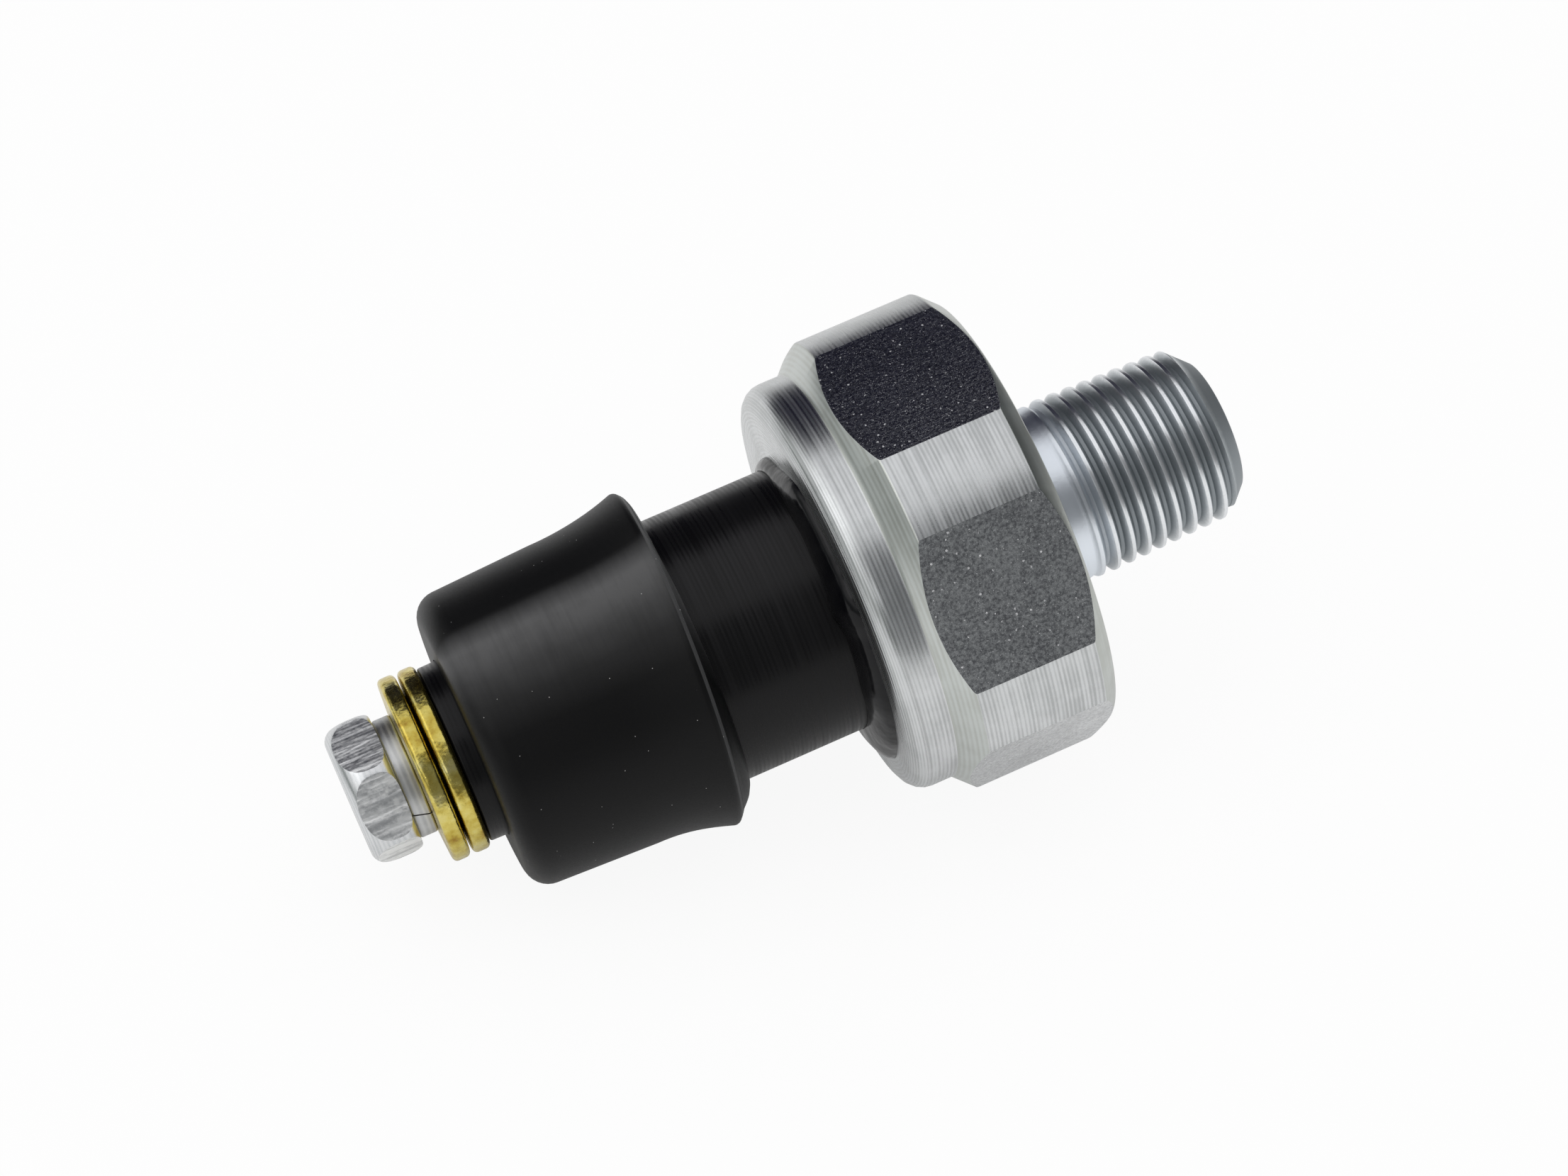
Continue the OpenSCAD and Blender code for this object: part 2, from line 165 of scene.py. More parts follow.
def ringSpace(tree, space, finesse, drift):
    # a pattern in these coordinates runs round the axis on any turned face, and changes slowly as it goes round
    along, y, z = splitOf(tree, space)
    squares = mathNode(tree, "ADD", mathNode(tree, "POWER", y, 2), mathNode(tree, "POWER", z, 2))
    reach = mathNode(tree, "SQRT", squares)
    joined = addNode(tree, "ShaderNodeCombineXYZ")
    tree.links.new(mathNode(tree, "MULTIPLY", along, finesse), joined.inputs["X"])
    tree.links.new(mathNode(tree, "MULTIPLY", reach, finesse), joined.inputs["Y"])
    tree.links.new(mathNode(tree, "MULTIPLY", mathNode(tree, "ADD", y, z), drift), joined.inputs["Z"])
    return joined.outputs[0], reach, along


def toolMarks(tree, along, feed, strength):
    # even turning marks, one for each feed of the tool
    wave = mathNode(tree, "SINE", mathNode(tree, "MULTIPLY", along, tau / feed))
    return mathNode(tree, "MULTIPLY", wave, strength)


def shareRound(tree, stops):
    # a share that depends on where the surface faces, in degrees from the top towards the near side; it places
    # painted highlights
    facing = addNode(tree, "ShaderNodeNewGeometry")
    _, y, z = splitOf(tree, facing.outputs["Normal"])
    angle = mathNode(tree, "ARCTAN2", mathNode(tree, "MULTIPLY", y, -1), z)
    place = mathNode(tree, "MULTIPLY_ADD", angle, 1 / tau, 0.5)
    return rampOf(tree, place, *[(0.5 + degree / 360, share) for degree, share in stops])


def newShader(name, **sockets):
    # the last thing given back is millimetres along the sender's own axis and across it
    material = bpy.data.materials.new(name)
    material.use_nodes = True
    tree = material.node_tree
    shader = next(n for n in tree.nodes if n.type == "BSDF_PRINCIPLED")
    for socket, value in sockets.items():
        shader.inputs[socket.replace("_", " ")].default_value = value
    place = addNode(tree, "ShaderNodeTexCoord")
    centred = addNode(
        tree, "ShaderNodeMapping", vector_type="TEXTURE",
        in_Location=(resting["shift"] / 1000, 0, resting["height"] / 1000),
        in_Rotation=(0, radians(-resting["tilt"]), 0), in_Scale=(0.001, 0.001, 0.001),
    )
    tree.links.new(place.outputs["Object"], centred.inputs["Vector"])
    return material, tree, shader, centred.outputs["Vector"]


def finishShader(tree, shader, colour, rough, *bumps):
    # a bump is a height, a strength and a depth in millimetres, and each lies on the one before
    tree.links.new(colour, shader.inputs["Base Color"])
    tree.links.new(rough, shader.inputs["Roughness"])
    normal = None
    for height, strength, depth in bumps:
        node = addNode(tree, "ShaderNodeBump", in_Strength=strength, in_Distance=depth / 1000)
        tree.links.new(height, node.inputs["Height"])
        if normal:
            tree.links.new(normal, node.inputs["Normal"])
        normal = node.outputs["Normal"]
    tree.links.new(normal, shader.inputs["Normal"])


# Finishes. A scale is the number of marks in a millimetre.

platedLook = {
    "colour": (0.7, 0.715, 0.72),
    "shade": (0.46, 0.475, 0.475),
    "rough": (0.2, 0.38),
    "lines": 3.5,
    "feed": 0.23,        # pitch of the tool marks
    "lineDepth": 0.023,
    "stain": 0.35,
    "grain": 0.25,
}
chamferLook = {          # the chamfers are smoother and duller than the turned lands, and a little green
    "colour": (0.62, 0.65, 0.63),
    "shade": (0.5, 0.52, 0.49),
    "rough": (0.26, 0.36),
    "lines": 2.0,
    "feed": 0.4,
    "lineDepth": 0.002,
    "stain": 0.5,
    "grain": 0.25,
}


def platedMaterial(name, look):
    material, tree, shader, space = newShader(name, Metallic=1.0)
    rings, reach, along = ringSpace(tree, space, look["lines"], 0.03)
    marks = toolMarks(tree, mathNode(tree, "ADD", along, reach), look["feed"], 0.2)
    lines = mathNode(tree, "ADD", noiseOf(tree, rings, 1.0, 2), marks)
    tone = blendOf(tree, noiseOf(tree, space, look["stain"]), lines, 0.5)
    low, high = look["rough"]
    finishShader(
        tree, shader,
        rampOf(tree, tone, (0.36, look["shade"]), (0.62, look["colour"])),
        mathNode(tree, "MULTIPLY_ADD", lines, high - low, low),
        (noiseOf(tree, space, 14, 3, 0.7), look["grain"], 0.01),
        (lines, 0.5, look["lineDepth"]),
    )
    return material


flatLook = {
    "colour": (0.7, 0.715, 0.72),
    "deep": (0.27, 0.275, 0.29),
    "speck": (0.95, 0.95, 0.96),
    "specks": (2.1, 0.13),       # scale and size
    "fineSpecks": (6.0, 0.16),
    "nicks": (1.3, 0.07),
    "rough": (0.12, 0.2),
    "speckRough": 0.45,
}


def flatMaterial(name, look):
    # the drawn flats mirror the dark studio, and dull pale specks scatter its light
    material, tree, shader, space = newShader(name, Metallic=1.0)
    scratches = noiseOf(tree, stretchOf(tree, space, (0.6, 5, 5)), 1.6, rough=0.7)
    grit = noiseOf(tree, space, 5.5, rough=0.8)
    grains = noiseOf(tree, space, 4.5, rough=0.75)
    tone = blendOf(tree, noiseOf(tree, space, 0.3, 3), grit, 0.85)
    base = rampOf(tree, tone, (0.4, look["deep"]), (0.58, look["colour"]))
    patches = mathNode(tree, "GREATER_THAN", grains, 0.5)
    large = mathNode(tree, "MULTIPLY", dotsOf(tree, space, *look["specks"]), patches)
    fine = mathNode(tree, "MULTIPLY", dotsOf(tree, space, *look["fineSpecks"]), 0.4)
    specks = mathNode(tree, "MAXIMUM", large, fine)
    low, high = look["rough"]
    smooth = rampOf(tree, grit, (0.35, low), (0.65, high))
    finishShader(
        tree, shader,
        mixOf(tree, specks, base, look["speck"]),
        mathNode(tree, "MULTIPLY_ADD", specks, look["speckRough"], smooth),
        (grains, 0.5, 0.02),
        (grit, 0.4, 0.01),
        (scratches, 0.3, 0.02),
        (dotsOf(tree, space, *look["nicks"]), 0.8, 0.04),
    )
    return material


rubberLook = {
    "colour": (0.0045, 0.0045, 0.0048),
    "paintedHighlight": (0.1, 0.1, 0.102),
    # share of the painted highlight, a grey band that lightens the rubber near the top, at some angles round the
    # sender
    "paintedHighlightRound": [(-2, 0.0), (4, 0.55), (9, 1.0), (16, 0.8), (24, 0.4), (34, 0.12), (46, 0.0)],
    "dust": (0.5, 0.5, 0.49),
    "dots": (1.9, 0.042),
    "rough": (0.36, 0.5),
    "shine": 0.16,
}
# the moulded line on the lip: a lighter grey with painted highlight over it all round, strongest near the top
seamLook = {**rubberLook, "colour": (0.02, 0.02, 0.021), "paintedHighlightRound": [(-40, 0.3), (10, 0.9), (30, 0.5), (120, 0.3)]}


def rubberMaterial(name, look):
    material, tree, shader, space = newShader(name, Specular_IOR_Level=look["shine"])
    streak = noiseOf(tree, ringSpace(tree, space, 3.0, 0.1)[0], 1.0)
    clouds = noiseOf(tree, space, 0.4, rough=0.55)
    grit = noiseOf(tree, space, 12, rough=0.7)
    patchy = mathNode(tree, "ADD", clouds, mathNode(tree, "MULTIPLY", streak, 0.7))
    patchy = rampOf(tree, patchy, (0.45, 0.6), (1.0, 1.0))
    # painted highlight: grey mixed into the rubber where it faces up, made patchy by clouds and streaks
    paintedHighlight = mathNode(tree, "MULTIPLY", shareRound(tree, look["paintedHighlightRound"]), patchy)
    base = mixOf(tree, paintedHighlight, look["colour"], look["paintedHighlight"])
    # dust: tiny pale dots, only in places
    places = mathNode(tree, "GREATER_THAN", noiseOf(tree, space, 0.9, 2, 0.5), 0.52)
    dust = mathNode(tree, "MULTIPLY", dotsOf(tree, space, *look["dots"]), places)
    low, high = look["rough"]
    finishShader(
        tree, shader,
        mixOf(tree, dust, base, look["dust"]),
        rampOf(tree, grit, (0.25, low), (0.75, high)),
        (grit, 0.35, 0.02),
        (streak, 0.25, 0.02),
    )
    return material


mouldedLook = {
    "colour": (0.0058, 0.0056, 0.0062),
    "rough": (0.24, 0.4),
    "feed": 0.24,
    # painted highlight: litRound sets where the upper side takes the lit copy of the colour
    "litRound": [(-2, 0.0), (5, 1.0), (14, 0.8), (32, 0.45), (55, 0.0)],
    "shine": 0.2,
}


def mouldedMaterial(name, look):
    material, tree, shader, space = newShader(name, Specular_IOR_Level=look["shine"])
    rings, _, along = ringSpace(tree, space, 2.5, 0.03)
    streaks = mathNode(tree, "MULTIPLY", noiseOf(tree, rings, 1.0, 3), 0.6)
    turning = mathNode(tree, "ADD", streaks, toolMarks(tree, along, look["feed"], 0.06))
    colour = look["colour"]
    # painted highlight: on the upper side a lit copy of the colour, up to 2.8 times as light, takes the place of the
    # shaded copy
    darker, lighter = tuple(v * 0.6 for v in colour), tuple(v * 2.8 for v in colour)
    shaded = rampOf(tree, turning, (0.2, darker), (0.42, colour))
    lit = rampOf(tree, turning, (0.2, colour), (0.42, lighter))
    low, high = look["rough"]
    finishShader(
        tree, shader,
        mixOf(tree, shareRound(tree, look["litRound"]), shaded, lit),
        rampOf(tree, turning, (0.2, low), (0.45, high)),
        (turning, 0.35, 0.02),
        (noiseOf(tree, space, 15, 3), 0.15, 0.01),
    )
    return material


gloopLook = {
    "dark": (0.003, 0.003, 0.004),
    "light": (0.007, 0.007, 0.008),
    "rough": (0.14, 0.3),
    "shine": 0.2,
    "coat": 0.1,
    "coatRough": 0.05,
}


def gloopMaterial(name, look):
    material, tree, shader, space = newShader(
        name, Specular_IOR_Level=look["shine"], Coat_Weight=look["coat"], Coat_Roughness=look["coatRough"],
    )
    ripples = noiseOf(tree, space, 0.8, 2, 0.5)
    low, high = look["rough"]
    finishShader(
        tree, shader,
        rampOf(tree, ripples, (0.3, look["dark"]), (0.8, look["light"])),
        rampOf(tree, ripples, (0.3, low), (0.8, high)),
        (ripples, 0.4, 0.2),
    )
    return material


goldLook = {             # yellow passivated plate
    "brown": (0.32, 0.18, 0.03),
    "deep": (0.56, 0.43, 0.08),
    "gold": (0.72, 0.61, 0.17),
    "straw": (0.78, 0.71, 0.34),
    "rough": (0.13, 0.32),
}


def goldMaterial(name, look):
    material, tree, shader, space = newShader(name, Metallic=1.0)
    lines = noiseOf(tree, ringSpace(tree, space, 5.0, 0.4)[0], 1.0)
    grit = noiseOf(tree, space, 7, rough=0.7)
    tints = [(0.3, look["brown"]), (0.42, look["deep"]), (0.56, look["gold"]), (0.72, look["straw"])]
    low, high = look["rough"]
    finishShader(
        tree, shader,
        rampOf(tree, noiseOf(tree, space, 0.7), *tints),
        rampOf(tree, grit, (0.3, low), (0.7, high)),
        (grit, 0.3, 0.02),
        (lines, 0.3, 0.02),
        (noiseOf(tree, space, 1.6, 2, 0.5), 0.5, 0.1),
    )
    return material


facetLook = {
    "streak": (0.62, 0.63, 0.64),
    "bright": (0.94, 0.95, 0.95),
    "rough": (0.32, 0.5),
}


def facetMaterial(name, look):
    # the pressed flats of the screw head: bright with dark streaks along the screw
    material, tree, shader, space = newShader(name, Metallic=1.0)
    streaks = noiseOf(tree, stretchOf(tree, space, (0.2, 1.1, 1.1)), 1.5, 2, 0.5)
    grit = noiseOf(tree, space, 3.5, rough=0.7)
    tone = blendOf(tree, streaks, grit, 0.35)
    low, high = look["rough"]
    finishShader(
        tree, shader,
        rampOf(tree, tone, (0.4, look["streak"]), (0.53, look["bright"])),
        rampOf(tree, grit, (0.3, low), (0.7, high)),
        (grit, 0.35, 0.05),
        (streaks, 0.6, 0.2),
    )
    return material


threadLook = {
    "crest": (0.88, 0.9, 0.92),
    "flank": (0.54, 0.57, 0.59),
    "valley": (0.34, 0.37, 0.39),
    "neck": (0.84, 0.89, 0.95),  # the smooth neck next to the hexagon is painted bright: a painted highlight
    "neckHighlightShare": (0.2, 0.32),    # of the stem's length, where the neck's painted highlight fades
    "rough": (0.28, 0.52),
}


def threadMaterial(name, look):
    # bright worn crests, and a grey-green film left in the valleys
    # lighter crests and darker valleys by the depth into the thread: painted highlight on the crests and painted
    # shade in the valleys
    material, tree, shader, space = newShader(name, Metallic=1.0)
    rings, reach, along = ringSpace(tree, space, 6.0, 0.2)
    slope = 1 / thread["taper"] / 2
    surface = mathNode(tree, "MULTIPLY_ADD", along, -slope, thread["crest"] + thread["firstCrest"] * slope)
    depth = mathNode(tree, "DIVIDE", mathNode(tree, "SUBTRACT", surface, reach), thread["depth"], clamp=True)
    grit = noiseOf(tree, space, 5, rough=0.7)
    tone = blendOf(tree, depth, grit, 0.25)
    # painted highlight and painted shade: the colour runs from light at the crests to dark in the valleys
    colour = rampOf(tree, tone, (0.12, look["crest"]), (0.42, look["flank"]), (0.85, look["valley"]))
    # painted highlight: the neck's bright colour takes over near the hexagon
    first, last = look["neckHighlightShare"]
    paintedNeckHighlight = rampOf(tree, mathNode(tree, "DIVIDE", along, thread["end"]), (first, 1.0), (last, 0.0))
    low, high = look["rough"]
    finishShader(
        tree, shader,
        mixOf(tree, paintedNeckHighlight, colour, look["neck"]),
        rampOf(tree, tone, (0.15, low), (0.8, high)),
        (grit, 0.4, 0.02),
        (noiseOf(tree, rings, 1.0, 3), 0.3, 0.01),
    )
    return material


def plainMaterial(name, colour, rough, metallic=0.0, clear=0.0):
    # for the sealed inner pieces
    material, tree, shader, space = newShader(name, Metallic=metallic, Transmission_Weight=clear)
    grit = noiseOf(tree, space, 4)
    finishShader(
        tree, shader,
        rampOf(tree, grit, (0.3, tuple(v * 0.8 for v in colour)), (0.7, colour)),
        rampOf(tree, grit, (0.3, rough), (0.7, rough + 0.15)),
        (grit, 0.2, 0.02),
    )
    return material


# Mesh helpers.

def softened(points, pieces=5):
    # (station, radius) corners, where a third number rounds the corner by that much
    path = []
    for i, point in enumerate(points):
        here = Vector(point[:2])
        if len(point) < 3 or not 0 < i < len(points) - 1:
            path.append(here)
            continue
        back, ahead = Vector(points[i - 1][:2]) - here, Vector(points[i + 1][:2]) - here
        start, end = here + back.normalized() * point[2], here + ahead.normalized() * point[2]
        for k in range(pieces + 1):
            t = k / pieces
            weight = 1.414 * t * (1 - t)
            path.append((start * (1 - t) ** 2 + here * weight + end * t * t) / ((1 - t) ** 2 + weight + t * t))
    return path


def wireOf(bm, points, closed):
    verts = [bm.verts.new((p[0], 0, p[1])) for p in points]
    edges = [bm.edges.new(pair) for pair in zip(verts, verts[1:])]
    if closed:
        edges.append(bm.edges.new((verts[-1], verts[0])))
    return verts, edges


def turn(bm, points, steps=144, closed=True):
    verts, edges = wireOf(bm, points, closed)
    bmesh.ops.spin(
        bm, geom=verts + edges, cent=(0, 0, 0), axis=(1, 0, 0), dvec=(0, 0, 0),
        angle=tau, steps=steps, use_merge=True, use_duplicate=False,
    )
    bmesh.ops.remove_doubles(bm, verts=bm.verts, dist=0.0005)


def cutAway(bm, point, outwards):
    return bmesh.ops.bisect_plane(
        bm, geom=bm.verts[:] + bm.edges[:] + bm.faces[:], dist=0.0001,
        plane_co=point, plane_no=outwards, clear_outer=True,
    )["geom_cut"]


def cutFlats(bm, apart, edge):
    # six flats, cut straight through the turned blank, each with a small radius round it; the first faces up
    flats = []
    for k in range(6):
        angle = radians(60 * k)
        outwards = Vector((0, -sin(angle), cos(angle)))
        cut = cutAway(bm, outwards * apart / 2, outwards)
        rim = [e for e in cut if isinstance(e, bmesh.types.BMEdge) and e.is_boundary]
        flats += bmesh.ops.holes_fill(bm, edges=rim, sides=0)["faces"]
    for face in flats:
        face.material_index = 1
    edges = list({e for f in flats if f.is_valid for e in f.edges})
    bmesh.ops.bevel(
        bm, geom=edges, offset=edge, offset_type="OFFSET", affect="EDGES",
        segments=2, profile=0.5, material=-1, clamp_overlap=True,
    )


def addObject(name, bm):
    mesh = bpy.data.meshes.new(name)
    bm.to_mesh(mesh)
    bm.free()
    made = bpy.data.objects.new(name, mesh)
    bpy.context.collection.objects.link(made)
    return made


def finishPiece(name, bm, materials, node, edgeAngle=34, weighted=False):
    bmesh.ops.recalc_face_normals(bm, faces=bm.faces)
    bmesh.ops.transform(bm, matrix=layDown, verts=bm.verts)
    piece = addObject(name, bm)
    piece.data.shade_smooth()
    piece.data.set_sharp_from_angle(angle=radians(edgeAngle))
    for material in materials:
        piece.data.materials.append(material)
    if weighted:
        even = piece.modifiers.new("even", "WEIGHTED_NORMAL")
        even.keep_sharp = True
    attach(piece, "housing")
    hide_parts(node)
    print(name, len(piece.data.polygons), "faces")


def aroundAxis(co):
    # radius, and angle from the top towards the camera
    return hypot(co.y, co.z), atan2(-co.y, co.z)


def setReach(vert, radius, angle):
    vert.co.y, vert.co.z = -radius * sin(angle), radius * cos(angle)


def blendStep(value, low, high):
    t = min(1, max(0, (value - low) / (high - low)))
    return t * t * (3 - 2 * t)


housing = {
    "hexLength": 8.84,
    "acrossFlats": 24,
    "corner": 12.75,
    "backChamfer": 1.25,
    "frontChamfer": 0.93,
    "rimRadius": 11.47,
    "rimFace": -11.26,
    "rimRound": 1.2,
    "lipBore": 7.45,
    "lipSeat": -10.16,
    "cavity": 9.25,
    "cavityFloor": -4.11,
    "chamber": 6.2,
    "chamberFloor": -3.41,
    "spigot": 4.0,       # hidden end of the hexagon's bore, inside the stem
    "edge": 0.07,
    "steps": 240,
}
thread = {
    "pitch": 0.907,
    "depth": 0.5,
    "taper": 16,
    "turns": 16,         # more than the stem holds, the rest is cut off
    "firstCrest": 3.0,
    "start": 3.328,      # station of a crest at the top of the sender
    "crest": 5.0,
    "neck": 4.875,
    "runOut": (1.8, 3.6),
    "base": -0.3,        # sunk into the hexagon
    "end": 11.5,
    "tip": 3.63,
    "tipEase": (0.12, 0.05),
    "port": 1.5,
    "portChamfer": 0.3,
    "form": [            # share of the pitch, share of the depth
        (-0.15, 0.86), (-0.11, 0.97), (-0.06, 1), (0.06, 1), (0.11, 0.97), (0.15, 0.86),
        (0.35, 0.14), (0.39, 0.03), (0.44, 0), (0.56, 0), (0.61, 0.03), (0.65, 0.14),
    ],
}


def threadReach(station, angle):
    turnShift = thread["start"] + thread["pitch"] * angle / tau
    share = ((station - turnShift) / thread["pitch"] + 0.15) % 1 - 0.15
    corners = thread["form"] + [(0.85, 0.86)]
    height = 0
    for (t0, h0), (t1, h1) in zip(corners, corners[1:]):
        if t0 <= share <= t1:
            height = h0 + (h1 - h0) * (share - t0) / (t1 - t0)
            break
    surface = thread["crest"] - (station - thread["firstCrest"]) / thread["taper"] / 2
    cutIn = surface - thread["depth"] * (1 - height)
    reach = thread["neck"] + (cutIn - thread["neck"]) * blendStep(station, *thread["runOut"])
    return min(reach, thread["tip"] + thread["end"] - station)


def makeStem(bm, steps=144):
    # the profile of every turn side by side, screwed round once so that each turn joins the next
    first = thread["start"] - 5 * thread["pitch"]
    stations = [first + (k + t) * thread["pitch"] for k in range(thread["turns"]) for t, h in thread["form"]]
    verts, edges = wireOf(bm, [(s, 1) for s in stations], closed=False)
    bmesh.ops.spin(
        bm, geom=verts + edges, cent=(0, 0, 0), axis=(1, 0, 0), dvec=(thread["pitch"] / steps, 0, 0),
        angle=tau, steps=steps, use_merge=False, use_duplicate=False,
    )
    bmesh.ops.remove_doubles(bm, verts=bm.verts, dist=0.002)
    end = thread["end"]
    cutAway(bm, (thread["base"], 0, 0), (-1, 0, 0))
    cutAway(bm, (end, 0, 0), (1, 0, 0))
    for vert in bm.verts:
        angle = aroundAxis(vert.co)[1]
        setReach(vert, threadReach(vert.co.x, angle), angle)
    rims = [e for e in bm.edges if e.is_boundary]
    ring = [e for e in rims if e.verts[0].co.x > 0]
    bmesh.ops.holes_fill(bm, edges=[e for e in rims if e.verts[0].co.x < 0], sides=0)
    # the tip's face and the oil port
    port, chamfer = thread["port"], thread["portChamfer"]
    inwards, outwards = thread["tipEase"]
    path = [
        (thread["tip"] - inwards, end + outwards),
        (port + chamfer, end + outwards),
        (port, end - chamfer),
        (port, 0),
    ]
    for radius, station in path:
        made = bmesh.ops.extrude_edge_only(bm, edges=ring)["geom"]
        ring = [g for g in made if isinstance(g, bmesh.types.BMEdge)]
        for vert in {v for e in ring for v in e.verts}:
            setReach(vert, radius, aroundAxis(vert.co)[1])
            vert.co.x = station
    bmesh.ops.holes_fill(bm, edges=ring, sides=0)
    for face in bm.faces:
        face.material_index = 2


def makeHousing():
    h = housing
    hexBack = -h["hexLength"]
    blank = softened([
        (h["chamberFloor"], h["spigot"]),
        (0, h["spigot"]),
        (0, h["corner"] - h["frontChamfer"], 0.1),
        (-h["frontChamfer"], h["corner"], 0.1),
        (hexBack + h["backChamfer"], h["corner"], 0.1),
        (hexBack + 0.05, h["corner"] - h["backChamfer"] + 0.02, 0.15),
        (hexBack - 0.05, h["rimRadius"], 0.06),
        (h["rimFace"], h["rimRadius"], h["rimRound"]),
        (h["rimFace"], h["lipBore"], 0.15),
        (h["lipSeat"], h["lipBore"]),
        (h["lipSeat"], h["cavity"]),
        (h["cavityFloor"], h["cavity"]),
        (h["cavityFloor"], h["chamber"]),
        (h["chamberFloor"], h["chamber"]),
    ])
    bm = bmesh.new()
    turn(bm, blank, h["steps"])
    bm.normal_update()
    for face in bm.faces:
        chamfered = 0.3 < abs(face.normal.x) < 0.97
        if face.calc_center_median().x > hexBack - 0.03 and chamfered:
            face.material_index = 3
    cutFlats(bm, h["acrossFlats"], h["edge"])
    stem = bmesh.new()
    makeStem(stem)
    stemMesh = bpy.data.meshes.new("stemDraft")
    stem.to_mesh(stemMesh)
    stem.free()
    bm.from_mesh(stemMesh)
    bpy.data.meshes.remove(stemMesh)
    finishes = [
        platedMaterial("turnedPlate", platedLook),
        flatMaterial("flatPlate", flatLook),
        threadMaterial("threadPlate", threadLook),
        platedMaterial("chamferPlate", chamferLook),
    ]
    finishPiece("housingBody", bm, finishes, "body_shell", weighted=True)


insulator = {
    "radius": 7.3,
    "neck": 4.9,
    "neckEnd": 4.85,
    "terminalFace": -32.36,
    "shoulder": -30.36,
    "flange": 9.1,
    "flangeTop": -9.66,
    "flangeBase": -7.06,
    "plateRoom": 5.9,
    "plateRoomTop": -7.91,
    "springBore": 3.0,
    "insertBase": -19.01,
    "insertBore": 3.25,
}


def makeInsulator():
    n = insulator
    outline = softened([
        (n["terminalFace"], n["insertBore"]),
        (n["terminalFace"], n["neckEnd"], 0.12),
        (n["shoulder"], n["neck"]),
        (n["shoulder"], n["radius"], 0.3),
        (n["flangeTop"], n["radius"], 0.1),
        (n["flangeTop"], n["flange"], 0.1),
        (n["flangeBase"], n["flange"], 0.1),
        (n["flangeBase"], n["plateRoom"]),
        (n["plateRoomTop"], n["plateRoom"]),
        (n["plateRoomTop"], n["springBore"]),
        (n["insertBase"], n["springBore"]),
        (n["insertBase"], n["insertBore"]),
    ])
    bm = bmesh.new()
    turn(bm, outline)
    finishPiece("insulatorBody", bm, [mouldedMaterial("moulding", mouldedLook)], "insulator")


boot = {
    "end": -31.36,
    "hole": 4.95,
    "radius": 8.15,
    "round": 1.3,
    "waist": 8.45,
    "flareFrom": -24.46,
    "flareSteps": 12,
    "lip": 9.28,
    "lipStation": -19.84,
    "mouth": -18.96,
    "mouthRadius": 7.7,
    "bore": 7.35,
    "shoulder": -30.41,
    "skew": 0.4,         # the lip is pulled on unevenly, further on the side at skewAt
    "skewAt": -47,
}


def makeBoot():
    b = boot
    lip, edge = b["lipStation"], b["lip"]
    flare = []
    for k in range(b["flareSteps"]):
        t = k / b["flareSteps"]
        flare.append((b["flareFrom"] + (lip - b["flareFrom"]) * t, b["waist"] + (edge - b["waist"]) * t * t))
    # the lip has a crisp edge with a fine moulded line on it, then a slightly hollow bevel down to the mouth
    bevel = [
        (lip + 0.02, edge, 0.2),
        (lip + 0.3, edge - 0.3),
        (lip + 0.32, edge - 0.38),
        (lip + 0.36, edge - 0.38),
        (lip + 0.64, edge - 0.86, 0.3),
        (b["mouth"], b["mouthRadius"], 0.08),
        (b["mouth"], b["bore"], 0.08),
    ]
    end = [(b["end"], b["hole"]), (b["end"], b["radius"], b["round"])]
    inside = [(b["shoulder"], b["bore"]), (b["shoulder"], b["hole"])]
    bm = bmesh.new()
    turn(bm, softened(end + flare + bevel + inside, 8))
    for face in bm.faces:
        middle = face.calc_center_median()
        if lip + 0.2 < middle.x < lip + 0.35 and aroundAxis(middle)[0] > b["waist"]:
            face.material_index = 1
    for vert in bm.verts:
        radius, angle = aroundAxis(vert.co)
        if radius > b["bore"] + 0.1:
            station = vert.co.x
            share = blendStep(station, b["flareFrom"], lip) - blendStep(station, lip + 0.4, b["mouth"])
            vert.co.x += b["skew"] * share * cos(angle - radians(b["skewAt"]))
    finishes = [rubberMaterial("bootRubber", rubberLook), rubberMaterial("bootSeam", seamLook)]
    finishPiece("bootSleeve", bm, finishes, "boot", edgeAngle=26)


bead = {
    "skin": 7.32,
    "face": -11.26,
    "sunk": 0.3,         # its flat back lies inside the rim
    "thin": 0.55,        # reach on the rim's face where the bead is narrow
    "wide": 1.95,
    "height": 0.85,
    "wideAt": 105,       # angle of the middle of the wide stretch
    "blobAt": 52,
    "rows": 12,
    "steps": 180,
}


def makeBead():
    rows, face, skin = bead["rows"], bead["face"], bead["skin"]
    bm = bmesh.new()
    path = [(face + bead["sunk"], skin)]
    path += [(face - 1 + k / rows, skin + k / rows) for k in range(rows + 1)]
    path += [(face + bead["sunk"], skin + 1)]
    turn(bm, path, bead["steps"])
    for vert in bm.verts:
        radius, angle = aroundAxis(vert.co)
        share = min(1, max(0, radius - skin))
        swell = 0.5 + 0.5 * cos(angle - radians(bead["wideAt"]))
        wave = 0.06 * sin(3 * angle + 0.7) + 0.05 * sin(8 * angle + 2) + 0.02 * sin(17 * angle)
        blob = max(0, 1 - ((angle - radians(bead["blobAt"])) / 0.16) ** 2)
        reach = bead["thin"] + (bead["wide"] - bead["thin"]) * blendStep(swell, 0.2, 0.5) + wave + 0.42 * blob
        high = bead["height"] * (0.7 + 0.3 * swell) + 0.6 * wave + 0.21 * blob
        setReach(vert, skin + reach * share, angle)
        if vert.co.x < face + 0.1:
            vert.co.x = face - high * (1 - share ** 2) ** 0.6
    gloop = gloopMaterial("sealantGloss", gloopLook)
    finishPiece("sealantBead", bm, [gloop], "sealant", edgeAngle=60)


washers = {
    "bore": 2.2,
    "radius": 5.125,
    "thick": 1.12,
    "round": 0.26,
    "flat": 3.7,         # radius where the stamped edge starts to thin
    "dish": 0.09,
    "from": -34.6,
}


